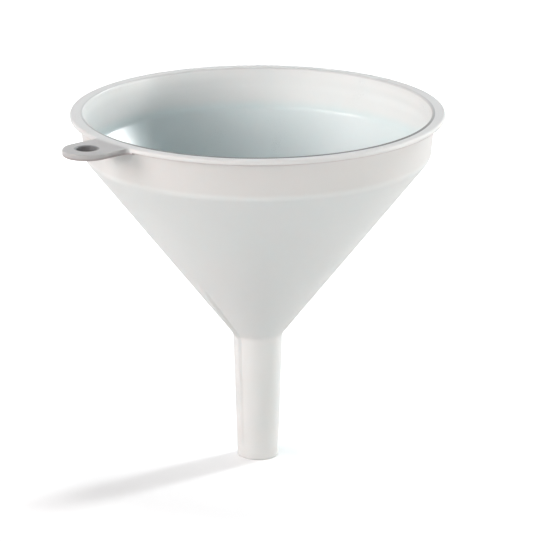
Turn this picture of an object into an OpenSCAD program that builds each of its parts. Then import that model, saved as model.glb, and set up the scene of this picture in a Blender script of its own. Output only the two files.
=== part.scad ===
// Filling funnel with a narrow spout, moulded in one piece from milky, see-through plastic.
// The one moulding is kept as named regions, which meet face to face on its form lines.
// Origin: centre of the spout's cut end. +Z runs up the axis, and the hanging loop points along -X.

/* [Rim] */
// Diameter over the lip
rim_d = 120; // [90:1:200]
// Width of the lip beyond the collar
lip_w = 3.2; // [2:0.1:8]
// Thickness of the lip
lip_t = 1.8; // [1.5:0.1:3]
// Radius of the lip's two outer edges
lip_edge_r = 0.7; // [0.2:0.1:0.7]
// Radius of the lip's inner top edge
mouth_edge_r = 0.5; // [0.1:0.1:0.8]

/* [Wall] */
// Thickness of the wall in the collar, cone and spout
wall = 1.2; // [0.8:0.1:2]

/* [Collar] */
// Depth of the collar, from the lip's top to the cone's corner
collar_h = 14; // [8:0.5:30]
// Slope of the collar's wall, in degrees
collar_draft = 6; // [0:0.5:10]
// Outside radius of the bend between collar and cone
corner_r = 4; // [2.5:0.5:10]

/* [Cone] */
// Height of the cone, from its corner to the throat
cone_h = 60; // [35:1:120]

/* [Spout] */
// Length of the spout below the throat
spout_l = 41.5; // [20:0.5:90]
// Outside diameter of the spout at the throat
throat_d = 16; // [12:0.5:36]
// Outside diameter of the spout at its tip
tip_d = 13.1; // [8:0.1:32]
// Outside radius of the bend between spout and cone
throat_r = 3; // [2:0.5:10]
// Radius of the tip's outer edge
tip_edge_r = 0.4; // [0.1:0.1:0.5]

/* [Vent rib] */
// Width of the rib that keeps an air gap open in a bottle's neck
rib_w = 2.4; // [1.2:0.2:4]
// Height of the rib over the wall
rib_h = 0.9; // [0.4:0.1:1.5]
// Height of the rib at its foot, where it fades towards the tip
rib_foot_h = 0.4; // [0.1:0.1:0.8]
// Distance from the spout's tip to the rib's foot
rib_foot_z = 4; // [1:0.5:12]
// Height that the rib climbs above the throat
rib_rise = 22; // [10:1:30]
// Height over which the rib's upper end runs out
rib_fade = 4; // [1:0.5:6]

/* [Hanging loop] */
// Distance from the lip's edge to the centre of the hole
loop_reach = 9.8; // [8:0.1:20]
// Width of the loop, which is the diameter of its round end
loop_w = 15.4; // [12:0.2:20]
// Thickness of the loop
loop_t = 2.2; // [1.2:0.1:4]
// Diameter of the hole
hole_d = 6.6; // [3:0.1:9]
// Radius of the hollows where the loop's sides meet the lip
loop_root_r = 2; // [0.5:0.5:5]

/* [Hidden] */
$fn = 96;
// Straight pieces in each bend of the profile
BEND_STEPS = 8;
// Depth to which the rib is drawn inside the wall before it is cut back to the skin
ROOT_DEPTH = 1;

MILKY = [0.87, 0.89, 0.88, 0.85];
MILKY_THICK = [0.80, 0.82, 0.81, 0.9];

rim_r = rim_d / 2;
corner_z = spout_l + cone_h;
rim_z = corner_z + collar_h;
lip_z = rim_z - lip_t;
collar_top_r = rim_r - lip_w;
corner_out_r = collar_top_r - (collar_h - lip_t) * tan(collar_draft);

// The outer skin's corners as [radius, height], from the tip up to the lip's underside
tip_pt = [tip_d / 2, 0];
throat_pt = [throat_d / 2, spout_l];
corner_pt = [corner_out_r, corner_z];
lip_pt = [collar_top_r, lip_z];

function unit(v) = v / norm(v);
function reversed(list) = [for (i = [len(list) - 1 : -1 : 0]) list[i]];

// Direction out of the funnel, square to the skin that runs up from a to b
function outward(a, b) =
    let (along = unit(b - a))
    [along[1], -along[0]];

// The arc of radius r that rounds corner b on the path a, b, c. With a growth it keeps its
// centre and gets that much more radius, so that both skins of a wall bend about one centre.
function bend(a, b, c, r, growth = 0) =
    let (
        back = unit(a - b),
        ahead = unit(c - b),
        half = acos(back * ahead) / 2,
        centre = b + unit(back + ahead) * r / sin(half),
        first = b + back * r / tan(half) - centre,
        start = atan2(first[1], first[0]),
        turn = (180 - 2 * half) * sign(cross(first, ahead))
    )
    [for (i = [0 : BEND_STEPS])
        let (angle = start + turn * i / BEND_STEPS)
        centre + (r + growth) * [cos(angle), sin(angle)]];

throat_outside = bend(tip_pt, throat_pt, corner_pt, throat_r);
throat_inside = bend(tip_pt, throat_pt, corner_pt, throat_r, wall);
corner_outside = bend(throat_pt, corner_pt, lip_pt, corner_r);
corner_inside = bend(throat_pt, corner_pt, lip_pt, corner_r, -wall);

// The inner skin's ends, a wall's thickness in from the outer skin
tip_in = tip_pt - [wall / cos(atan((throat_pt[0] - tip_pt[0]) / spout_l)), 0];
mouth_low = lip_pt - [wall / cos(collar_draft), 0];
mouth_high = mouth_low + [lip_t * tan(collar_draft), lip_t];

lip_top_pt = [rim_r, rim_z];
lip_low_pt = [rim_r, lip_z];
lip_edge = concat(
    bend(mouth_high, lip_top_pt, lip_low_pt, lip_edge_r),
    bend(lip_top_pt, lip_low_pt, lip_pt, lip_edge_r)
);

module rim_lip() {
    color(MILKY_THICK)
        rotate_extrude()
            polygon(concat(
                [lip_pt, mouth_low],
                bend(mouth_low, mouth_high, lip_top_pt, mouth_edge_r),
                lip_edge
            ));
}

module collar() {
    color(MILKY)
        rotate_extrude()
            polygon([
                corner_outside[BEND_STEPS],
                lip_pt,
                mouth_low,
                corner_inside[BEND_STEPS]
            ]);
}

module cone() {
    color(MILKY)
        rotate_extrude()
            polygon(concat(
                throat_outside,
                corner_outside,
                reversed(corner_inside),
                reversed(throat_inside)
            ));
}

module spout() {
    color(MILKY)
        rotate_extrude()
            polygon(concat(
                [throat_outside[0], throat_inside[0], tip_in],
                bend(tip_in, tip_pt, throat_outside[0], tip_edge_r)
            ));
}

// Everything inside the outer skin, to which the rib and the loop are cut back
module outer_body() {
    rotate_extrude()
        polygon(concat(
            [[0, 0], tip_pt],
            throat_outside,
            corner_outside,
            [lip_pt],
            reversed(lip_edge),
            [[0, rim_z]]
        ));
}

// One straight rib that hugs the spout, the throat's bend and the lower cone
module vent_rib() {
    spout_out = outward(tip_pt, throat_pt);
    cone_out = outward(throat_pt, corner_pt);
    cone_step = (corner_pt - throat_pt) / cone_h;
    foot = tip_pt + (throat_pt - tip_pt) * rib_foot_z / spout_l;
    crest = throat_pt + cone_step * (rib_rise - rib_fade) + cone_out * rib_h;
    top = throat_pt + cone_step * rib_rise;
    buried_top = crest + (top - crest) * (1 + ROOT_DEPTH / rib_h);
    color(MILKY_THICK)
        difference() {
            rotate([90, 0, 180])
                linear_extrude(height = rib_w, center = true)
                    polygon(concat(
                        [foot - spout_out * ROOT_DEPTH, foot + spout_out * rib_foot_h],
                        bend(tip_pt, throat_pt, corner_pt, throat_r, -rib_h),
                        [crest, buried_top],
                        reversed(bend(tip_pt, throat_pt, corner_pt, throat_r, ROOT_DEPTH))
                    ));
            outer_body();
        }
}

// Fills the hollow between one side of the loop and the round edge of the lip
module loop_root() {
    side_y = loop_w / 2;
    hollow_y = side_y + loop_root_r;
    hollow_x = -sqrt(pow(rim_r + loop_root_r, 2) - pow(hollow_y, 2));
    on_lip = [hollow_x, hollow_y] * rim_r / (rim_r + loop_root_r);
    difference() {
        polygon([
            [hollow_x, hollow_y],
            [hollow_x, side_y],
            [on_lip[0], side_y],
            on_lip
        ]);
        translate([hollow_x, hollow_y])
            circle(r = loop_root_r);
    }
}

module hanging_loop() {
    eye_x = -(rim_r + loop_reach);
    color(MILKY_THICK)
        difference() {
            translate([0, 0, rim_z - loop_t])
                linear_extrude(height = loop_t)
                    union() {
                        translate([eye_x, 0])
                            circle(d = loop_w);
                        translate([eye_x, -loop_w / 2])
                            square([-eye_x, loop_w]);
                        loop_root();
                        mirror([0, 1])
                            loop_root();
                    }
            outer_body();
            translate([eye_x, 0, rim_z - 2 * loop_t])
                cylinder(d = hole_d, h = 3 * loop_t);
        }
}

rim_lip();
collar();
cone();
spout();
vent_rib();
hanging_loop();
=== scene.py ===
"""Filling funnel with a narrow spout, moulded in one piece from milky plastic.

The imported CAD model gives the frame. One seamless skin stands for all six of its regions, because
the real part is a single moulding and light travels freely through its wall. Everything is in
metres, with +Z up the funnel's axis and the hanging loop along -X.
"""

from __future__ import annotations

import logging
import math
from dataclasses import dataclass, field
from enum import Enum
from functools import reduce

import bmesh
import bpy
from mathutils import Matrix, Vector

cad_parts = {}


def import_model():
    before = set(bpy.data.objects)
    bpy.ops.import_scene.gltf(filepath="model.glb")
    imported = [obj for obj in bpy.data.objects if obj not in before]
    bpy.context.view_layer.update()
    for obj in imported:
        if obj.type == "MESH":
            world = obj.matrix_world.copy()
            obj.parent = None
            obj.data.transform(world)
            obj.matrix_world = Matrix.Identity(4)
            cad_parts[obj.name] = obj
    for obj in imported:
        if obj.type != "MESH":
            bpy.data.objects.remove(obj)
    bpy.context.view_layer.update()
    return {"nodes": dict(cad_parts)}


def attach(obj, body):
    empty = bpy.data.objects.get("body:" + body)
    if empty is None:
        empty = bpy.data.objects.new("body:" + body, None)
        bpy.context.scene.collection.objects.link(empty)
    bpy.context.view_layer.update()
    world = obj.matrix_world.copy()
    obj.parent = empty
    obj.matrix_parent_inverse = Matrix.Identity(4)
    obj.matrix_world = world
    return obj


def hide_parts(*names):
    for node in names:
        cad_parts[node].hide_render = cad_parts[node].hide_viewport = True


Pair = tuple[float, float]
Triple = tuple[float, float, float]
Socket = bpy.types.NodeSocket
Tree = bpy.types.NodeTree

log = logging.getLogger("funnel")

MM = 0.001
SAME_POINT = 0.001 * MM
WELD = 0.002 * MM
ARC_STEPS = 8
SHARP_EDGE = math.radians(38)
WHITE = (1.0, 1.0, 1.0, 1.0)
BLACK = (0.0, 0.0, 0.0, 1.0)


class Skin(Enum):
    """The two surface finishes that the mould leaves."""

    SATIN = 0
    POLISHED = 1


class Ray(Enum):
    """Kinds of ray, by the names of their sockets on Light Path."""

    CAMERA = "Is Camera Ray"
    TRANSMISSION = "Is Transmission Ray"
    GLOSSY = "Is Glossy Ray"


@dataclass(frozen=True)
class WallPoint:
    """One point of the wall's cross-section, at a radius and a height above the tip.

    Skin is the finish that starts here, lift is how far the vent rib's crest stands off it, and
    out is the direction out of the wall, as radial and upward parts.
    """

    radius: float
    height: float
    skin: Skin
    lift: float
    out: Pair


def eased(t: float) -> float:
    """Smooth step from 0 to 1."""
    return t * t * (3 - 2 * t)


def heading(azimuth: float, elevation: float) -> Vector:
    """Direction towards an azimuth and elevation, both in radians."""
    level = math.cos(elevation)
    return Vector((math.cos(azimuth) * level, math.sin(azimuth) * level, math.sin(elevation)))


def arc(centre: Vector, radius: float, start: float, turn: float, steps: int) -> list[Vector]:
    """Points of an arc, both ends included.

    Args:
        centre: Centre of the arc.
        radius: Its radius.
        start: Angle of its first point.
        turn: Angle from the first point to the last, anticlockwise.
        steps: Number of equal steps.

    Returns:
        The arc's points, one more than the steps.
    """
    return [
        centre + Vector((math.cos(angle), math.sin(angle))) * radius
        for angle in (start + turn * i / steps for i in range(steps + 1))
    ]


def bend(a: Vector, b: Vector, c: Vector, radius: float, growth: float = 0.0) -> list[Vector]:
    """Rounds the corner b of the path a, b, c.

    Args:
        a: Point before the corner, as radius and height.
        b: The corner.
        c: Point after the corner.
        radius: Radius of the arc that touches both legs.
        growth: Added to the radius about the same centre, for the wall's other skin.

    Returns:
        The arc's points, in the order of the path.
    """
    back, ahead = (a - b).normalized(), (c - b).normalized()
    half = math.acos(max(-1.0, min(1.0, back.dot(ahead)))) / 2
    centre = b + (back + ahead).normalized() * radius / math.sin(half)
    first = b + back * radius / math.tan(half) - centre
    start = math.atan2(first.y, first.x)
    turn = math.copysign(math.pi - 2 * half, first.x * ahead.y - first.y * ahead.x)
    return arc(centre, radius + growth, start, turn, ARC_STEPS)


def stepped(a: Vector, b: Vector, step: float) -> list[Vector]:
    """Points strictly between a and b, no further apart than step."""
    count = max(1, math.ceil((b - a).length / step))
    return [a.lerp(b, i / count) for i in range(1, count)]


class NodeCanvas:
    """Adds nodes and links to one node tree, so that a tree reads as a list of steps."""

    def __init__(self, tree: Tree) -> None:
        """Keeps the tree and starts at its left edge."""
        self.tree = tree
        self.count = 0

    @classmethod
    def of(cls, owner: bpy.types.Material | bpy.types.World) -> NodeCanvas:
        """Empties the node tree of a material or world and returns a canvas on it."""
        owner.use_nodes = True
        owner.node_tree.nodes.clear()
        return cls(owner.node_tree)

    def add(self, kind: str, inputs: dict | None = None, **settings: object) -> bpy.types.Node:
        """Adds a node.

        Args:
            kind: The node's type name.
            inputs: Values or sockets for its inputs, by name or number.
            **settings: Properties of the node itself.

        Returns:
            The new node.
        """
        node = self.tree.nodes.new(kind)
        node.location = (self.count % 12 * 190, -(self.count // 12) * 320)
        self.count += 1
        for name, value in settings.items():
            setattr(node, name, value)
        for key, value in (inputs or {}).items():
            self.feed(node.inputs[key], value)
        return node

    def feed(self, socket: Socket, value: object) -> None:
        """Feeds an input.

        Args:
            socket: The input.
            value: A socket to link to it, or a plain value to set it to.
        """
        if isinstance(value, Socket):
            self.tree.links.new(value, socket)
        else:
            socket.default_value = value

    def math(self, operation: str, *values: object) -> Socket:
        """Adds a Math node and returns its result."""
        return self.add("ShaderNodeMath", dict(enumerate(values)), operation=operation).outputs[0]

    def product(self, *values: object) -> Socket:
        """Adds the nodes that multiply all the values and returns their product."""
        return reduce(lambda first, second: self.math("MULTIPLY", first, second), values)

    def ramp(
        self, value: object, low: object, high: object, to_low: object = 0.0, to_high: object = 1.0
    ) -> Socket:
        """Adds a smooth Map Range, which holds its end values outside its range.

        Args:
            value: What is mapped.
            low: Value that gives to_low.
            high: Value that gives to_high.
            to_low: Result at low.
            to_high: Result at high.

        Returns:
            The mapped value.
        """
        node = self.add("ShaderNodeMapRange", interpolation_type="SMOOTHSTEP")
        for key, item in enumerate((value, low, high, to_low, to_high)):
            self.feed(node.inputs[key], item)
        return node.outputs[0]

    def blend(
        self, factor: object, first: object, second: object, mode: str = "MIX"
    ) -> Socket:
        """Adds a colour Mix.

        Args:
            factor: Share of the second colour.
            first: Colour at a factor of 0.
            second: Colour that is blended in.
            mode: Blend type of the node.

        Returns:
            The blended colour.
        """
        inputs = {"Factor": factor, 6: first, 7: second}
        return self.add("ShaderNodeMix", inputs, data_type="RGBA", blend_type=mode).outputs[2]

    def noise(self, vector: object, scale: float, **settings: float) -> Socket:
        """Adds a Noise Texture.

        Args:
            vector: Where it is read.
            scale: Its scale.
            **settings: Its other inputs, by name.

        Returns:
            Its grey value.
        """
        inputs = {"Vector": vector, "Scale": scale, **settings}
        return self.add("ShaderNodeTexNoise", inputs).outputs["Fac"]

    def object_place(self) -> Socket:
        """Adds Object coordinates and returns them."""
        return self.add("ShaderNodeTexCoord").outputs["Object"]

    def split(self, vector: object) -> tuple[Socket, ...]:
        """Adds a Separate XYZ and returns its three parts."""
        return tuple(self.add("ShaderNodeSeparateXYZ", {0: vector}).outputs)

    def vector(self, *parts: object) -> Socket:
        """Adds a Combine XYZ of three parts and returns its vector."""
        return self.add("ShaderNodeCombineXYZ", dict(enumerate(parts))).outputs[0]

    def rays(self, *kinds: Ray) -> Socket:
        """Adds a mask that is 1 for rays of the given kinds and 0 for all others."""
        light = self.add("ShaderNodeLightPath").outputs
        mask = light[kinds[0].value]
        for kind in kinds[1:]:
            mask = self.math("MAXIMUM", mask, light[kind.value])
        return mask

    def distance(self, x: object, y: object) -> Socket:
        """Adds the nodes for the length of (x, y) and returns it."""
        return self.math("SQRT", self.math("ADD", self.product(x, x), self.product(y, y)))

    def band(self, value: object, middle: float, half: float, soft: float) -> Socket:
        """Adds a mask that is 1 within half of the middle and 0 outside, with soft edges."""
        off = self.math("ABSOLUTE", self.math("SUBTRACT", value, middle))
        return self.ramp(off, half - soft, half + soft, 1.0, 0.0)


def group_tree(kind: str, name: str, inputs: dict, outputs: dict) -> Tree:
    """Makes an empty node group with named sockets.

    Args:
        kind: Type name of the tree.
        name: Name of the group.
        inputs: Socket type and default value of each input, by name.
        outputs: Socket type of each output, by name.

    Returns:
        The group's tree.
    """
    tree = bpy.data.node_groups.new(name, kind)
    for label, (socket_type, value) in inputs.items():
        socket = tree.interface.new_socket(label, in_out="INPUT", socket_type=socket_type)
        if value is not None:
            socket.default_value = value
    for label, socket_type in outputs.items():
        tree.interface.new_socket(label, in_out="OUTPUT", socket_type=socket_type)
    return tree


@dataclass(frozen=True)
class WallSection:
    """The funnel's cross-section, with the sizes that the CAD model has.

    The steps say how far apart its points are: fine where the rib or the sharp turns need them,
    plain where the wall is straight.
    """

    rim_r: float = 60 * MM
    lip_w: float = 3.2 * MM
    lip_t: float = 1.8 * MM
    lip_edge_r: float = 0.7 * MM
    lip_root_r: float = 0.5 * MM
    mouth_edge_r: float = 0.5 * MM
    wall: float = 1.2 * MM
    collar_h: float = 14 * MM
    collar_draft: float = math.radians(6)
    corner_r: float = 4 * MM
    cone_h: float = 60 * MM
    spout_l: float = 41.5 * MM
    throat_r: float = 8 * MM
    tip_r: float = 6.55 * MM
    throat_bend_r: float = 3 * MM
    tip_edge_r: float = 0.4 * MM
    bore_edge_r: float = 0.2 * MM
    rib_share: float = 0.4
    rib_step: float = 0.8 * MM
    flank_step: float = 1 * MM
    collar_step: float = 1.2 * MM
    lip_step: float = 0.6 * MM
    mouth_step: float = 0.5 * MM
    plain_step: float = 4 * MM

    @property
    def rim_z(self) -> float:
        """Height of the lip's top."""
        return self.spout_l + self.cone_h + self.collar_h

    @property
    def lip_z(self) -> float:
        """Height of the lip's underside."""
        return self.rim_z - self.lip_t

    @property
    def tip(self) -> Vector:
        """Outer corner of the spout's tip."""
        return Vector((self.tip_r, 0))

    @property
    def throat(self) -> Vector:
        """Corner between spout and cone, on the outer skin."""
        return Vector((self.throat_r, self.spout_l))

    @property
    def corner(self) -> Vector:
        """Corner between cone and collar, on the outer skin."""
        drop = (self.collar_h - self.lip_t) * math.tan(self.collar_draft)
        return Vector((self.rim_r - self.lip_w - drop, self.spout_l + self.cone_h))

    @property
    def lip_root(self) -> Vector:
        """Corner between collar and lip, on the outer skin."""
        return Vector((self.rim_r - self.lip_w, self.lip_z))

    @property
    def mouth(self) -> Vector:
        """Corner between lip and collar, on the inner skin."""
        lean = self.lip_t * math.tan(self.collar_draft)
        inner = self.lip_root.x - self.wall / math.cos(self.collar_draft)
        return Vector((inner + lean, self.rim_z))

    def outside(self) -> list[Vector]:
        """The outer skin.

        Returns:
            Its points, from the tip up to the lip's top edge.
        """
        tip, throat, corner, root = self.tip, self.throat, self.corner, self.lip_root
        spout_bend = bend(tip, throat, corner, self.throat_bend_r)
        collar_bend = bend(throat, corner, root, self.corner_r)
        lip_low = Vector((self.rim_r, self.lip_z))
        lip_top = Vector((self.rim_r, self.rim_z))
        mouth = Vector((root.x - self.wall, self.rim_z))
        tip_edge = bend(Vector((0, 0)), tip, spout_bend[0], self.tip_edge_r)
        rib_end = throat.lerp(corner, self.rib_share)
        lip_hollow = bend(collar_bend[-1], root, lip_low, self.lip_root_r)
        low_edge = bend(root, lip_low, lip_top, self.lip_edge_r)
        top_edge = bend(lip_low, lip_top, mouth, self.lip_edge_r)
        return [
            *tip_edge,
            *stepped(tip_edge[-1], spout_bend[0], self.rib_step),
            *spout_bend,
            *stepped(spout_bend[-1], rib_end, self.flank_step),
            *stepped(rib_end, collar_bend[0], self.plain_step),
            *collar_bend,
            *stepped(collar_bend[-1], lip_hollow[0], self.collar_step),
            *lip_hollow,
            *stepped(lip_hollow[-1], low_edge[0], self.lip_step),
            *low_edge,
            *top_edge,
        ]

    def inside(self) -> list[Vector]:
        """The inner skin, parallel to the outer one.

        Returns:
            Its points, from the lip's top down to the bore's edge.
        """
        tip, throat, corner, root = self.tip, self.throat, self.corner, self.lip_root
        lean = math.atan((throat.x - tip.x) / self.spout_l)
        bore = Vector((tip.x - self.wall / math.cos(lean), 0))
        low = Vector((root.x - self.wall / math.cos(self.collar_draft), root.y))
        spout_bend = bend(tip, throat, corner, self.throat_bend_r, self.wall)[::-1]
        collar_bend = bend(throat, corner, root, self.corner_r, -self.wall)[::-1]
        lip_top = Vector((self.rim_r - self.lip_edge_r, self.rim_z))
        mouth_edge = bend(lip_top, self.mouth, low, self.mouth_edge_r)
        bore_edge = bend(spout_bend[-1], bore, tip, self.bore_edge_r)
        return [
            *stepped(lip_top, mouth_edge[0], self.mouth_step),
            *mouth_edge,
            *stepped(mouth_edge[-1], collar_bend[0], self.collar_step),
            *collar_bend,
            *stepped(collar_bend[-1], spout_bend[0], self.plain_step),
            *spout_bend,
            *stepped(spout_bend[-1], bore_edge[0], self.plain_step),
            *bore_edge,
        ]


@dataclass(frozen=True)
class VentRib:
    """The rib that keeps an air gap open in a bottle's neck. It runs up the loop's side."""

    width: float = 2.4 * MM
    height: float = 0.75 * MM
    foot_height: float = 0.35 * MM
    foot_z: float = 4 * MM
    foot_run: float = 1.6 * MM
    rise: float = 22 * MM
    fade: float = 5 * MM
    edge: float = 1.1 * MM

    def lift(self, point: Vector, section: WallSection) -> float:
        """How far the rib's crest stands off the outer skin.

        Args:
            point: A point of the outer skin, as radius and height.
            section: The section that the rib stands on.

        Returns:
            The height of the crest over that point.
        """
        top = section.spout_l + self.rise
        if not self.foot_z < point.y < top:
            return 0.0
        share = min(1.0, (point.y - self.foot_z) / (section.spout_l - self.foot_z))
        crest = self.foot_height + (self.height - self.foot_height) * share
        start = min(1.0, (point.y - self.foot_z) / self.foot_run)
        end = min(1.0, (top - point.y) / self.fade)
        return crest * eased(start) * eased(end)


@dataclass
class FunnelWall:
    """Collar, cone, spout and lip with the vent rib: one section turned about the axis.

    Crowding, from 0 to 1, draws the segments together at the rib and apart opposite it.
    """

    section: WallSection = field(default_factory=WallSection)
    rib: VentRib = field(default_factory=VentRib)
    segments: int = 256
    crowding: float = 0.8

    def points(self) -> list[WallPoint]:
        """The closed cross-section.

        Returns:
            Its points, up the outer skin and down the inner one.
        """
        outer, inner = self.section.outside(), self.section.inside()
        path = outer + inner
        made = []
        for i, point in enumerate(path):
            along = path[(i + 1) % len(path)] - path[i - 1]
            out = Vector((along.y, -along.x)).normalized()
            is_outer = i < len(outer)
            lift = self.rib.lift(point, self.section) if is_outer else 0.0
            skin = Skin.SATIN if is_outer else Skin.POLISHED
            made.append(WallPoint(point.x, point.y, skin, lift, (out.x, out.y)))
        return made

    def section_object(self) -> bpy.types.Object:
        """Lays out the cross-section for the turning tree.

        Returns:
            A mesh of bare points, each with its lift, finish and outward direction.
        """
        points = self.points()
        mesh = bpy.data.meshes.new("wall_section")
        mesh.from_pydata([(p.radius, 0, p.height) for p in points], [], [])
        lift = mesh.attributes.new("rib_lift", "FLOAT", "POINT")
        lift.data.foreach_set("value", [p.lift for p in points])
        skin = mesh.attributes.new("polished", "FLOAT", "POINT")
        skin.data.foreach_set("value", [float(p.skin.value) for p in points])
        out = mesh.attributes.new("skin_out", "FLOAT_VECTOR", "POINT")
        out.data.foreach_set("vector", [x for p in points for x in (p.out[0], 0.0, p.out[1])])
        made = bpy.data.objects.new("funnel_wall", mesh)
        bpy.context.scene.collection.objects.link(made)
        return made

    def turning_tree(self) -> Tree:
        """Geometry Nodes that turn the section about Z and raise the rib on the -X side.

        Returns:
            The tree. A unit grid gives it one column for each step and one row for each point.
        """
        tree = group_tree(
            "GeometryNodeTree",
            "Turned wall",
            {
                "Section": ("NodeSocketGeometry", None),
                "Segments": ("NodeSocketInt", self.segments),
                "Crowding": ("NodeSocketFloat", self.crowding),
                "Rib Width": ("NodeSocketFloat", self.rib.width),
                "Rib Edge": ("NodeSocketFloat", self.rib.edge),
                "Outside": ("NodeSocketMaterial", None),
                "Inside": ("NodeSocketMaterial", None),
            },
            {"Geometry": "NodeSocketGeometry"},
        )
        c = NodeCanvas(tree)
        given = c.add("NodeGroupInput").outputs
        size = c.add("GeometryNodeAttributeDomainSize", {0: given["Section"]})
        count = size.outputs["Point Count"]
        grid = c.add(
            "GeometryNodeMeshGrid",
            {
                "Size X": 1.0,
                "Size Y": 1.0,
                "Vertices X": c.math("ADD", given["Segments"], 1.0),
                "Vertices Y": c.math("ADD", count, 1.0),
            },
        )
        across, along, _ = c.split(c.add("GeometryNodeInputPosition").outputs[0])
        row = c.math("ROUND", c.product(c.math("ADD", along, 0.5), count))
        row = c.math("FLOORED_MODULO", row, count)
        turn = c.product(c.math("ADD", across, 0.5), math.tau)
        crowded = c.product(c.math("SINE", turn), given["Crowding"])
        angle = c.math("SUBTRACT", turn, crowded)
        cosine, sine = c.math("COSINE", angle), c.math("SINE", angle)

        def sampled(value: Socket, kind: str) -> Socket:
            """Reads a field of the section, of the given data type, at this vertex's row."""
            inputs = {"Geometry": given["Section"], "Value": value, "Index": row}
            return c.add("GeometryNodeSampleIndex", inputs, data_type=kind).outputs[0]

        def named(name: str, kind: str) -> Socket:
            """Reads a named attribute of the section in the same way."""
            node = c.add("GeometryNodeInputNamedAttribute", {"Name": name}, data_type=kind)
            return sampled(node.outputs[0], kind)

        point = sampled(c.add("GeometryNodeInputPosition").outputs[0], "FLOAT_VECTOR")
        radius, _, height = c.split(point)
        outward, _, upward = c.split(named("skin_out", "FLOAT_VECTOR"))
        aside = c.math("ABSOLUTE", c.product(radius, sine))
        half = c.product(given["Rib Width"], 0.5)
        on_rib = c.ramp(aside, c.math("SUBTRACT", half, given["Rib Edge"]), half, 1.0, 0.0)
        facing = c.math("GREATER_THAN", cosine, 0.0)
        raised = c.product(named("rib_lift", "FLOAT"), on_rib, facing)
        radius = c.math("MULTIPLY_ADD", outward, raised, radius)
        height = c.math("MULTIPLY_ADD", upward, raised, height)
        back = c.product(radius, -1.0)
        moved = c.vector(c.product(back, cosine), c.product(back, sine), height)
        inner = c.add("GeometryNodeInputNamedAttribute", {"Name": "inner"}).outputs[0]
        is_inner = c.math("GREATER_THAN", inner, 0.5)
        shape = grid.outputs[0]
        for kind, inputs in (
            (
                "GeometryNodeStoreNamedAttribute",
                {"Name": "inner", "Value": named("polished", "FLOAT")},
            ),
            ("GeometryNodeSetPosition", {"Position": moved}),
            ("GeometryNodeMergeByDistance", {"Distance": SAME_POINT}),
            ("GeometryNodeSetShadeSmooth", {}),
            ("GeometryNodeRealizeInstances", {}),
            ("GeometryNodeSetMaterial", {"Material": given["Outside"]}),
            ("GeometryNodeSetMaterial", {"Selection": is_inner, "Material": given["Inside"]}),
        ):
            shape = c.add(kind, {"Geometry": shape, **inputs}).outputs[0]
        c.add("NodeGroupOutput", {0: shape})
        return tree

    def build(self, outside: bpy.types.Material, inside: bpy.types.Material) -> bpy.types.Object:
        """Turns the section into a plain closed mesh.

        Args:
            outside: Material of the outer skin.
            inside: Material of the inner skin and the lip's top.

        Returns:
            The wall, with both materials on its faces.
        """
        wall = self.section_object()
        tree = self.turning_tree()
        modifier = wall.modifiers.new("Turned wall", "NODES")
        modifier.node_group = tree
        values = {"Outside": outside, "Inside": inside}
        for item in tree.interface.items_tree:
            if item.in_out == "INPUT" and item.name in values:
                modifier[item.identifier] = values[item.name]
        plain = plain_mesh(wall)
        wall.modifiers.clear()
        wall.data = plain
        return wall


def plain_mesh(piece: bpy.types.Object) -> bpy.types.Mesh:
    """Gives an object's shape with its modifiers applied.

    Args:
        piece: The object, which isn't changed.

    Returns:
        A new mesh of that shape.
    """
    bpy.context.view_layer.update()
    graph = bpy.context.evaluated_depsgraph_get()
    return bpy.data.meshes.new_from_object(
        piece.evaluated_get(graph), preserve_all_data_layers=True, depsgraph=graph
    )


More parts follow.
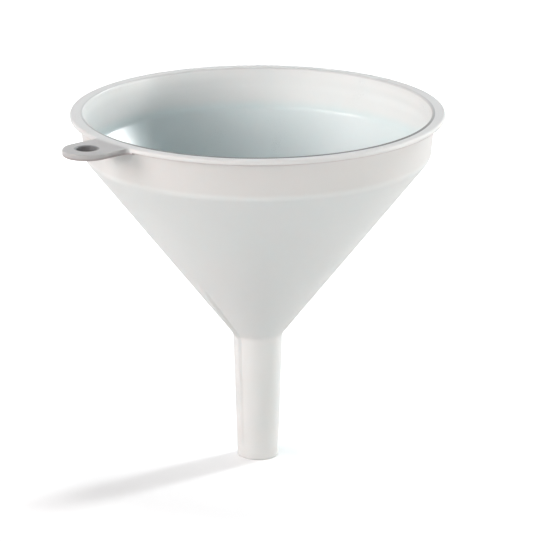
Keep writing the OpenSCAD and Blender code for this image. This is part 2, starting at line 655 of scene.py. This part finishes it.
@dataclass
class HangingLoop:
    """The flat tab at the lip, with its hole.

    Its buried edge ends inside the lip, where the two are joined.
    """

    section: WallSection = field(default_factory=WallSection)
    reach: float = 9.8 * MM
    width: float = 15.4 * MM
    thickness: float = 2.2 * MM
    hole_d: float = 6.6 * MM
    root_r: float = 2 * MM
    edge_r: float = 0.45 * MM
    hole_edge_r: float = 0.35 * MM
    top_drop: float = 0.06 * MM
    buried_r: float = 56.2 * MM
    hole_spare: float = 1 * MM
    root_steps: int = 8
    round_steps: int = 48
    buried_steps: int = 24
    edge_steps: int = 4
    hole_steps: int = 64
    hole_edge_steps: int = 5

    @property
    def eye(self) -> Vector:
        """Centre of the hole, in plan."""
        return Vector((-(self.section.rim_r + self.reach), 0))

    @property
    def top(self) -> float:
        """Height of the loop's upper face."""
        return self.section.rim_z - self.top_drop

    @property
    def bottom(self) -> float:
        """Height of the loop's lower face."""
        return self.section.rim_z - self.thickness

    def outline(self) -> tuple[list[Vector], int]:
        """The loop seen from above.

        Returns:
            Its corners in order, and how many of them are on the open edge.
        """
        half, rim_r = self.width / 2, self.section.rim_r
        hollow_y = half + self.root_r
        hollow = Vector((-math.sqrt((rim_r + self.root_r) ** 2 - hollow_y**2), hollow_y))
        on_lip = hollow * rim_r / (rim_r + self.root_r)
        start = math.atan2(on_lip.y - hollow.y, on_lip.x - hollow.x)
        upper = arc(hollow, self.root_r, start, -math.pi / 2 - start, self.root_steps)
        tip = arc(self.eye, half, math.pi / 2, math.pi, self.round_steps)
        lower = [Vector((p.x, -p.y)) for p in reversed(upper)]
        open_edge = upper + tip + lower
        spread = math.atan2(on_lip.y, -on_lip.x)
        axis, steps = Vector((0, 0)), self.buried_steps
        buried = arc(axis, self.buried_r, math.pi + spread, -2 * spread, steps)
        return open_edge + buried, len(open_edge)

    def tab(self) -> bpy.types.Object:
        """Makes the loop without its hole.

        Returns:
            A solid plate whose open edges are rounded.
        """
        corners, open_count = self.outline()
        bm = bmesh.new()
        low = [bm.verts.new((p.x, p.y, self.bottom)) for p in corners]
        high = [bm.verts.new((p.x, p.y, self.top)) for p in corners]
        count = len(corners)
        bm.faces.new(low)
        bm.faces.new(high[::-1])
        for i in range(count):
            j = (i + 1) % count
            bm.faces.new((low[j], low[i], high[i], high[j]))
        bmesh.ops.recalc_face_normals(bm, faces=bm.faces)
        rounded = [
            bm.edges.get((ring[i], ring[i + 1]))
            for ring in (low, high)
            for i in range(open_count - 1)
        ]
        bmesh.ops.bevel(
            bm,
            geom=rounded,
            offset=self.edge_r,
            segments=self.edge_steps,
            profile=0.5,
            affect="EDGES",
        )
        return object_from(bm, "loop_tab")

    def hole(self) -> bpy.types.Object:
        """Makes the plug that cuts the hole.

        Returns:
            A turned solid that flares at the loop's faces, and so rounds the hole's edges.
        """
        edge = self.hole_edge_r
        wide = self.hole_d / 2 + edge
        steps = self.hole_edge_steps
        quarter = [math.pi / 2 * i / steps for i in range(steps + 1)]
        low, high = self.bottom, self.top
        side = [
            (wide, low - self.hole_spare),
            *((wide - edge * math.sin(a), low + edge - edge * math.cos(a)) for a in quarter),
            *((wide - edge * math.cos(a), high - edge + edge * math.sin(a)) for a in quarter),
            (wide, high + self.hole_spare),
        ]
        turns = [math.tau * k / self.hole_steps for k in range(self.hole_steps)]
        bm = bmesh.new()
        rings = [
            [
                bm.verts.new(
                    (self.eye.x + radius * math.cos(a), self.eye.y + radius * math.sin(a), height)
                )
                for a in turns
            ]
            for radius, height in side
        ]
        for first, second in zip(rings, rings[1:]):
            for k in range(self.hole_steps):
                n = (k + 1) % self.hole_steps
                bm.faces.new((first[k], first[n], second[n], second[k]))
        bm.faces.new(rings[0][::-1])
        bm.faces.new(rings[-1])
        bmesh.ops.recalc_face_normals(bm, faces=bm.faces)
        return object_from(bm, "loop_hole")


def object_from(bm: bmesh.types.BMesh, name: str) -> bpy.types.Object:
    """Turns a bmesh into an object of the scene.

    Args:
        bm: The bmesh, which is freed.
        name: Name of the object and of its mesh.

    Returns:
        The object.
    """
    mesh = bpy.data.meshes.new(name)
    bm.to_mesh(mesh)
    bm.free()
    made = bpy.data.objects.new(name, mesh)
    bpy.context.scene.collection.objects.link(made)
    return made


def look_along(made: bpy.types.Object, direction: Vector) -> None:
    """Turns a camera or lamp.

    Args:
        made: The camera or lamp, which is linked to the scene too.
        direction: Where it is to look.
    """
    made.rotation_mode = "QUATERNION"
    made.rotation_quaternion = direction.to_track_quat("-Z", "Y")
    bpy.context.scene.collection.objects.link(made)


def combined(base: bpy.types.Object, other: bpy.types.Object, operation: str) -> None:
    """Joins or cuts base with other, and deletes other.

    Args:
        base: The piece that is changed.
        other: The piece that is joined on or cut away.
        operation: UNION or DIFFERENCE.
    """
    modifier = base.modifiers.new(operation.title(), "BOOLEAN")
    modifier.operation = operation
    modifier.solver = "EXACT"
    modifier.material_mode = "TRANSFER"
    modifier.object = other
    mesh = plain_mesh(base)
    base.modifiers.clear()
    base.data = mesh
    bpy.data.objects.remove(other)


@dataclass(frozen=True)
class MilkyPlastic:
    """Unpigmented polypropylene: it scatters light in its wall and lets some through.

    Collar, cone, mouth, undercut, tab and eye are tones that multiply the colour at that place;
    they are painted shade and shadow, not colours that the plastic has.
    Tint and cloud are the colours of clearer and cloudier plastic, scatter is how far red, green
    and blue light travel in it, and clarity is its share of clear transmission.
    """

    name: str
    roughness: float
    grain: float
    streaks: float
    # Painted shade and shadow, not colours of the plastic: collar and cone where the light is
    # weaker, the mouth's dark edge, the shadow under the lip, the loop and the hole's wall.
    collar: Triple = (1.0, 1.0, 1.0)
    cone: Triple = (1.0, 1.0, 1.0)
    mouth: Triple = (0.1, 0.11, 0.115)
    undercut: Triple = (0.80, 0.72, 0.72)
    tab: Triple = (0.70, 0.69, 0.69)
    eye: Triple = (0.35, 0.36, 0.37)
    tint: Triple = (0.845, 0.87, 0.865)
    cloud: Triple = (0.855, 0.875, 0.87)
    scatter: Triple = (0.84 * MM, 0.9 * MM, 0.92 * MM)
    clarity: float = 0.22
    ior: float = 1.49
    relief_strength: float = 0.35
    relief_depth: float = 0.04 * MM

    def material(self, marks: Tree, tones: Tree) -> bpy.types.Material:
        """Makes the finish.

        Args:
            marks: The shared group of mould marks and painted streak sheen.
            tones: The shared group of painted shade tones.

        Returns:
            The material.
        """
        made = bpy.data.materials.new(self.name)
        c = NodeCanvas.of(made)
        surface = c.add(
            "ShaderNodeGroup",
            {
                "Roughness": self.roughness,
                "Grain": self.grain,
                "Streaks": self.streaks,
                "Plain Colour": (*self.tint, 1.0),
                "Cloud Colour": (*self.cloud, 1.0),
            },
            node_tree=marks,
        )
        toned = c.add(
            "ShaderNodeGroup",
            {
                "Colour": surface.outputs["Colour"],
                "Mouth Shade": (*self.mouth, 1.0),
                "Undercut Shadow": (*self.undercut, 1.0),
                "Collar": (*self.collar, 1.0),
                "Cone": (*self.cone, 1.0),
                "Tab": (*self.tab, 1.0),
                "Eye Shade": (*self.eye, 1.0),
            },
            node_tree=tones,
        )
        bump = c.add(
            "ShaderNodeBump",
            {
                "Strength": self.relief_strength,
                "Distance": self.relief_depth,
                "Height": surface.outputs["Relief"],
            },
        )
        shader = c.add(
            "ShaderNodeBsdfPrincipled",
            {
                "Base Color": toned.outputs[0],
                "Roughness": surface.outputs["Roughness"],
                "Normal": bump.outputs[0],
                "IOR": self.ior,
                "Transmission Weight": self.clarity,
                "Subsurface Weight": 1.0,
                "Subsurface Radius": tuple(x / max(self.scatter) for x in self.scatter),
                "Subsurface Scale": max(self.scatter),
            },
        )
        c.add("ShaderNodeOutputMaterial", {0: shader.outputs[0]})
        return made


@dataclass(frozen=True)
class MouldMarksAndSheen:
    """Marks that the mould leaves, turned rings, clouding and fine grain, with streaks of painted
    sheen.

    Streaks run round the collar in patches. Where they lighten or darken the colour, that is
    painted sheen for reflected highlights, and their change of roughness is real. Turn and rise say
    how fast each changes round the axis and with height, and the streaks come in between the two
    streak heights.
    """

    ring_scale: float = 620.0
    ring_drift: float = 0.03
    streak_turn: float = 0.25
    streak_rise: float = 420.0
    patch_turn: float = 1.6
    patch_rise: float = 20.0
    streak_heights: Pair = (102 * MM, 104.5 * MM)
    cloud_scale: float = 55.0
    cloud_range: Pair = (0.35, 0.65)
    grain_scale: float = 5200.0
    rough_spread: float = 0.08
    streak_gloss: float = 0.2

    def group(self) -> Tree:
        """Builds the shader group that both finishes share.

        Returns:
            The group, which puts out a colour with painted streak sheen, a roughness and a relief.
        """
        tree = group_tree(
            "ShaderNodeTree",
            "Mould marks and sheen",
            {
                "Roughness": ("NodeSocketFloat", 0.4),
                "Grain": ("NodeSocketFloat", 0.5),
                "Streaks": ("NodeSocketFloat", 0.0),
                "Plain Colour": ("NodeSocketColor", WHITE),
                "Cloud Colour": ("NodeSocketColor", WHITE),
            },
            {
                "Colour": "NodeSocketColor",
                "Roughness": "NodeSocketFloat",
                "Relief": "NodeSocketFloat",
            },
        )
        c = NodeCanvas(tree)
        given = c.add("NodeGroupInput").outputs
        place = c.object_place()
        clouds = c.noise(place, self.cloud_scale, Detail=3.0, Roughness=0.55)
        grain = c.noise(place, self.grain_scale, Detail=2.0)
        rings, streak = self.turned(c, place)
        cloud = c.ramp(clouds, *self.cloud_range)
        colour = c.blend(cloud, given["Plain Colour"], given["Cloud Colour"])
        # Painted sheen: the streaks lighten and darken the colour as reflected highlights would.
        streak_sheen = c.product(streak, given["Streaks"])
        shine = c.math("ADD", 1.0, streak_sheen)
        colour = c.add("ShaderNodeVectorMath", {0: colour, 3: shine}, operation="SCALE").outputs[0]
        rough = given["Roughness"]
        for noise in (clouds, grain):
            change = c.product(c.math("SUBTRACT", noise, 0.5), self.rough_spread)
            rough = c.math("ADD", rough, change)
        rough = c.math("SUBTRACT", rough, c.product(streak_sheen, self.streak_gloss))
        relief = c.math("ADD", c.product(grain, given["Grain"]), rings)
        c.add("NodeGroupOutput", {0: colour, 1: rough, 2: relief})
        return tree

    def turned(self, c: NodeCanvas, place: Socket) -> tuple[Socket, Socket]:
        """Adds the marks that run round the funnel's axis.

        Args:
            c: Canvas of the group.
            place: Object coordinates.

        Returns:
            The relief of the rings, and the streaks from -1 to 1, which drive the painted sheen.
        """
        x, y, z = c.split(place)
        radius = c.distance(x, y)
        on_ring = c.vector(c.product(x, self.ring_drift), radius, z)
        rings = c.noise(on_ring, self.ring_scale, Detail=1.0)
        about = [c.math("DIVIDE", side, radius) for side in (x, y)]

        def swept(turn: float, rise: float, low: float) -> Socket:
            """Noise from low to 1, which changes this fast round the axis and with height."""
            bent = c.vector(*(c.product(side, turn) for side in about), c.product(z, rise))
            return c.ramp(c.noise(bent, 1.0, Detail=0.0), 0.2, 0.8, low, 1.0)

        lines = swept(self.streak_turn, self.streak_rise, -1.0)
        patches = swept(self.patch_turn, self.patch_rise, 0.0)
        return rings, c.product(lines, patches, c.ramp(z, *self.streak_heights))


@dataclass(frozen=True)
class PaintedShadeTones:
    """Where painted shade and shadow darken the plastic: at the mouth's edge, under the lip, on the
    collar, in the cone, on the loop and in its hole.

    The mouth's dark edge is painted shade, for the darkness that light bending at the rounded edge
    gives, and is widest and strongest on the strong side, towards the camera. Reach and share give
    its width over the lip and its strength opposite that side and on it. Every other pair gives the
    two distances between which a tone fades, from the lip's top or underside, the corner, the
    mouth's edge, the lip's outer edge or the hole.
    """

    section: WallSection
    loop: HangingLoop
    mouth_shade_side: float = math.radians(240)
    mouth_reach: Pair = (0.85 * MM, 1.7 * MM)
    mouth_share: Pair = (0.15, 1.0)
    mouth_soft: float = 0.15 * MM
    mouth_depth: Pair = (0.6 * MM, 0.3 * MM)
    undercut_drop: float = 0.15 * MM
    undercut_half: float = 0.45 * MM
    undercut_soft: float = 0.25 * MM
    undercut_out: Pair = (0.3 * MM, 0.6 * MM)
    collar_foot: Pair = (0.2 * MM, 2 * MM)
    collar_top: Pair = (-0.4 * MM, 0.1 * MM)
    cone_top: Pair = (0.5 * MM, 4.5 * MM)
    tab_root: Pair = (-1.5 * MM, 1 * MM)
    eye_out: Pair = (0.35 * MM, 0.9 * MM)

    def group(self) -> Tree:
        """Builds the shader group that both finishes share.

        Returns:
            The group. Each tone multiplies the colour as painted shade, and white leaves it alone.
        """
        places = ("Mouth Shade", "Undercut Shadow", "Collar", "Cone", "Tab", "Eye Shade")
        tree = group_tree(
            "ShaderNodeTree",
            "Painted shade tones",
            {name: ("NodeSocketColor", WHITE) for name in ("Colour", *places)},
            {"Colour": "NodeSocketColor"},
        )
        c = NodeCanvas(tree)
        given = c.add("NodeGroupInput").outputs
        colour = given["Colour"]
        for name, mask in self.masks(c).items():
            colour = c.blend(mask, colour, given[name], mode="MULTIPLY")
        c.add("NodeGroupOutput", {0: colour})
        return tree

    def masks(self, c: NodeCanvas) -> dict[str, Socket]:
        """Adds a mask for each place that painted shade darkens.

        Args:
            c: Canvas of the group.

        Returns:
            The masks by name. The mouth's is thinner and weaker away from the strong side.
        """
        wall, eye_x = self.section, self.loop.eye.x
        edge, corner_z, soft = wall.mouth.x, wall.corner.y, self.mouth_soft
        x, y, z = c.split(c.object_place())
        radius = c.distance(x, y)
        # Painted shade: the mouth's dark edge, widest and darkest on the camera's side.
        along_x = c.product(x, math.cos(self.mouth_shade_side))
        along_y = c.product(y, math.sin(self.mouth_shade_side))
        side = c.math("DIVIDE", c.math("ADD", along_x, along_y), radius)
        reach = c.ramp(side, 0.1, 0.95, *(edge + far for far in self.mouth_reach))
        within = c.ramp(c.math("SUBTRACT", radius, reach), -soft, soft, 1.0, 0.0)
        at_top = c.ramp(z, *(wall.rim_z - depth for depth in self.mouth_depth))
        share = c.ramp(side, -0.3, 0.85, *self.mouth_share)
        # Painted shadow under the lip's overhang.
        middle = wall.lip_z - self.undercut_drop
        undercut_shadow_band = c.band(z, middle, self.undercut_half, self.undercut_soft)
        outside = c.ramp(radius, *(edge + out for out in self.undercut_out))
        # Painted shade on the collar, between the corner and the lip.
        above_cone = c.ramp(z, *(corner_z + up for up in self.collar_foot))
        below_lip = c.ramp(z, *(wall.lip_z + up for up in self.collar_top), 1.0, 0.0)
        # Painted teal shade in the cone's inside, below the corner.
        cone_shade_zone = c.ramp(z, *(corner_z + up for up in self.cone_top), 1.0, 0.0)
        # Painted shade on the loop.
        tab_shade_zone = c.ramp(x, *(-wall.rim_r + far for far in self.tab_root), 1.0, 0.0)
        # Painted shade in the loop's hole.
        from_eye = c.distance(c.math("SUBTRACT", x, eye_x), y)
        eye_shade_ring = c.ramp(from_eye, *(self.loop.hole_d / 2 + out for out in self.eye_out), 1.0, 0.0)
        return {
            "Mouth Shade": c.product(within, at_top, share),
            "Undercut Shadow": c.product(undercut_shadow_band, outside),
            "Collar": c.product(above_cone, below_lip),
            "Cone": cone_shade_zone,
            "Tab": tab_shade_zone,
            "Eye Shade": eye_shade_ring,
        }


@dataclass
class FunnelMoulding:
    """The whole funnel: wall, rib and loop as one closed skin."""

    wall: FunnelWall = field(default_factory=FunnelWall)
    loop: HangingLoop = field(default_factory=HangingLoop)
    marks: MouldMarksAndSheen = MouldMarksAndSheen()
    outside: MilkyPlastic = MilkyPlastic(
        "milky_plastic_satin",
        roughness=0.46,
        grain=0.9,
        streaks=0.01,
        # Painted shade: the collar's outside is darker and warmer, for how light falls through its
        # wall there.
        collar=(0.94, 0.92, 0.915),
        tint=(0.853, 0.873, 0.867),
        cloud=(0.863, 0.878, 0.873),
    )
    inside: MilkyPlastic = MilkyPlastic(
        "milky_plastic_polished",
        roughness=0.30,
        grain=0.25,
        # The inside's streaks carry more painted sheen, for the highlights that run round its
        # collar.
        streaks=0.05,
        # Painted shade: the teal of the shaded inside of the cone.
        cone=(0.92, 0.985, 0.995),
        tint=(0.842, 0.868, 0.866),
        cloud=(0.850, 0.872, 0.870),
    )

    def build(self) -> bpy.types.Object:
        """Makes the skin and dresses it.

        Returns:
            The finished piece.
        """
        marks = self.marks.group()
        tones = PaintedShadeTones(self.wall.section, self.loop).group()
        satin, polished = (f.material(marks, tones) for f in (self.outside, self.inside))
        skin = self.wall.build(satin, polished)
        tab = self.loop.tab()
        combined(tab, self.loop.hole(), "DIFFERENCE")
        tab.data.materials.clear()
        tab.data.materials.append(polished)
        combined(skin, tab, "UNION")
        # The turned wall's first slot is empty, and no face uses it.
        skin.data.materials.pop(index=0)
        skin.name = skin.data.name = "moulded_funnel"
        self.finish(skin)
        return skin

    @staticmethod
    def finish(skin: bpy.types.Object) -> None:
        """Welds the skin, points its faces outwards and smooths its shading.

        Args:
            skin: The skin, whose mesh is changed in place.
        """
        bm = bmesh.new()
        bm.from_mesh(skin.data)
        bmesh.ops.remove_doubles(bm, verts=bm.verts, dist=WELD)
        bmesh.ops.recalc_face_normals(bm, faces=bm.faces)
        for face in bm.faces:
            face.smooth = True
        for edge in bm.edges:
            edge.smooth = not (edge.is_manifold and edge.calc_face_angle(0.0) > SHARP_EDGE)
        open_edges = sum(not e.is_manifold for e in bm.edges)
        volume = bm.calc_volume(signed=True)
        bm.to_mesh(skin.data)
        bm.free()
        log.info("skin: %d open edges, %.0f mm3", open_edges, volume / MM**3)


@dataclass(frozen=True)
class Window:
    """One broad soft light around the room, with its place and size in degrees."""

    name: str
    azimuth: float
    elevation: float
    width: float
    height: float
    radiance: Triple

    @staticmethod
    def group() -> Tree:
        """Builds the shader group that every window shares.

        Returns:
            The group, which puts out the window's colour in a black room, from angles in radians.
        """
        tree = group_tree(
            "ShaderNodeTree",
            "Soft window",
            {
                "Azimuth": ("NodeSocketFloat", 0.0),
                "Elevation": ("NodeSocketFloat", 0.0),
                "Half Width": ("NodeSocketFloat", 0.5),
                "Half Height": ("NodeSocketFloat", 0.2),
                "Edge": ("NodeSocketFloat", math.radians(2.5)),
                "Colour": ("NodeSocketColor", WHITE),
            },
            {"Colour": "NodeSocketColor"},
        )
        c = NodeCanvas(tree)
        given = c.add("NodeGroupInput").outputs
        x, y, z = c.split(c.add("ShaderNodeTexCoord").outputs["Generated"])
        bearing = c.math("SUBTRACT", c.math("ARCTAN2", y, x), given["Azimuth"])
        aside = c.math("ABSOLUTE", c.math("WRAP", bearing, math.pi, -math.pi))
        above = c.math("ABSOLUTE", c.math("SUBTRACT", c.math("ARCSINE", z), given["Elevation"]))
        shares = []
        for off, half in ((aside, given["Half Width"]), (above, given["Half Height"])):
            inner = c.math("SUBTRACT", half, given["Edge"])
            outer = c.math("ADD", half, given["Edge"])
            shares.append(c.ramp(off, inner, outer, 1.0, 0.0))
        c.add("NodeGroupOutput", {0: c.blend(c.product(*shares), BLACK, given["Colour"])})
        return tree

    def patch(self, c: NodeCanvas, group: Tree) -> Socket:
        """Adds this window to the world.

        Args:
            c: Canvas of the world.
            group: The shared group.

        Returns:
            The window's light.
        """
        inputs = {
            "Azimuth": math.radians(self.azimuth),
            "Elevation": math.radians(self.elevation),
            "Half Width": math.radians(self.width / 2),
            "Half Height": math.radians(self.height / 2),
            "Colour": (*self.radiance, 1.0),
        }
        return c.add("ShaderNodeGroup", inputs, node_tree=group, label=self.name).outputs[0]


@dataclass
class Studio:
    """Pale floor, soft light and the camera.

    The floor lights the funnel in its two tones, and rays that see it find the seen colour and a
    little light of its own. That light grows from one lift to the other over the fade, and by the
    clear lift over the clear stretch of X, on the sun's side, where no shadow should show.
    """

    target: Triple = (0.0, 0.0, 60 * MM)
    azimuth: float = math.radians(229.7)
    elevation: float = math.radians(16.7)
    distance: float = 1.668
    lens: float = 344.0
    aim_right: float = 4.1 * MM
    aim_up: float = 2.2 * MM
    floor_half: float = 8.0
    floor_drop: float = 0.05 * MM
    floor_tones: tuple[Triple, Triple] = ((0.59, 0.60, 0.60), (0.61, 0.615, 0.61))
    floor_mottle: float = 30.0
    floor_seen: Triple = (0.952, 0.982, 0.988)
    floor_fade: Pair = (58 * MM, 104 * MM)
    floor_lift: Pair = (0.14, 0.5)
    floor_clear: Pair = (6 * MM, 18 * MM)
    floor_clear_lift: float = 0.13
    windows: tuple[Window, ...] = (
        Window("side", -43.0, 3.5, 30.0, 9.0, (22.4, 21.3, 20.2)),
        Window("front", -112.0, 5.5, 80.0, 11.0, (2.3, 2.3, 2.3)),
        Window("front_left", -178.0, 14.0, 58.0, 12.0, (9.6, 8.8, 8.4)),
        Window("front_high", 167.0, 27.5, 30.0, 15.0, (5.6, 5.0, 5.0)),
        Window("rear_high", 22.0, 45.0, 100.0, 36.0, (1.0, 1.1, 1.15)),
        Window("left_high", 137.0, 45.0, 60.0, 20.0, (2.6, 2.4, 2.45)),
    )
    key_energy: float = 1.6
    key_angle: float = math.radians(9)
    key_azimuth: float = math.radians(-3)
    key_elevation: float = math.radians(28)

    def camera(self) -> None:
        """Puts the camera at the funnel's own viewing angle."""
        back = heading(self.azimuth, self.elevation)
        target = Vector(self.target)
        place = target + back * self.distance
        right = Vector((-math.sin(self.azimuth), math.cos(self.azimuth), 0))
        up = back.cross(right)
        aim = target + right * self.aim_right + up * self.aim_up
        data = bpy.data.cameras.new("camera")
        data.lens = self.lens
        data.clip_start = 0.01
        made = bpy.data.objects.new("camera", data)
        made.location = place
        look_along(made, aim - place)
        bpy.context.scene.camera = made

    def floor(self) -> None:
        """Lays the pale floor, which the camera sees as white except in the shadow."""
        bm = bmesh.new()
        bmesh.ops.create_grid(bm, x_segments=8, y_segments=8, size=self.floor_half)
        bmesh.ops.translate(bm, verts=bm.verts, vec=(0, 0, -self.floor_drop))
        floor = object_from(bm, "floor")
        material = bpy.data.materials.new("pale_floor")
        c = NodeCanvas.of(material)
        place = c.object_place()
        tones = ((*tone, 1.0) for tone in self.floor_tones)
        colour = c.blend(c.noise(place, self.floor_mottle), *tones)
        seen = c.rays(*Ray)
        colour = c.blend(seen, colour, (*self.floor_seen, 1.0))
        paper = c.add("ShaderNodeBsdfDiffuse", {"Color": colour})
        x, y, _ = c.split(place)
        lift = c.math(
            "ADD",
            c.ramp(c.distance(x, y), *self.floor_fade, *self.floor_lift),
            c.ramp(x, *self.floor_clear, 0.0, self.floor_clear_lift),
        )
        strength = c.product(seen, lift)
        glow = c.add("ShaderNodeEmission", {"Color": WHITE, "Strength": strength})
        both = c.add("ShaderNodeAddShader", {0: paper.outputs[0], 1: glow.outputs[0]})
        c.add("ShaderNodeOutputMaterial", {0: both.outputs[0]})
        floor.data.materials.append(material)

    def world(self) -> None:
        """Sets the soft windows round the room, and a white backdrop behind the floor.

        Camera and transmission rays see the plain backdrop. Glossy rays see it too, with the
        brighter windows in front of it.
        """
        world = bpy.data.worlds.new("studio")
        bpy.context.scene.world = world
        c = NodeCanvas.of(world)
        group = Window.group()
        light = BLACK
        for window in self.windows:
            light = c.blend(1.0, light, window.patch(c, group), mode="ADD")
        backed = {0: light, 1: c.rays(Ray.GLOSSY)}
        light = c.add("ShaderNodeVectorMath", backed, operation="MAXIMUM").outputs[0]
        room = c.add("ShaderNodeBackground", {"Color": light}).outputs[0]
        white = c.add("ShaderNodeBackground", {"Color": WHITE}).outputs[0]
        plain = c.rays(Ray.CAMERA, Ray.TRANSMISSION)
        mixed = c.add("ShaderNodeMixShader", {0: plain, 1: room, 2: white})
        c.add("ShaderNodeOutputWorld", {0: mixed.outputs[0]})

    def key(self) -> None:
        """Sets the sun, low from the right and behind."""
        data = bpy.data.lights.new("key", "SUN")
        data.energy = self.key_energy
        data.angle = self.key_angle
        lamp = bpy.data.objects.new("key", data)
        look_along(lamp, -heading(self.key_azimuth, self.key_elevation))

    def build(self) -> None:
        """Sets up the whole studio."""
        bpy.context.scene.view_settings.view_transform = "Standard"
        self.camera()
        self.floor()
        self.world()
        self.key()


def corners(box: tuple[Vector, Vector]) -> list[list[float]]:
    """A box's two corners as plain lists."""
    return [[round(x, 6) for x in corner] for corner in box]


def main() -> None:
    """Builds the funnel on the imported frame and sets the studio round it."""
    logging.basicConfig(level=logging.INFO, format="%(name)s: %(message)s")
    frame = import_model()
    Studio().build()
    skin = FunnelMoulding().build()
    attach(skin, "root")
    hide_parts(*frame["nodes"])
    log.info("%s: %d faces", skin.name, len(skin.data.polygons))


if __name__ == "__main__":
    main()
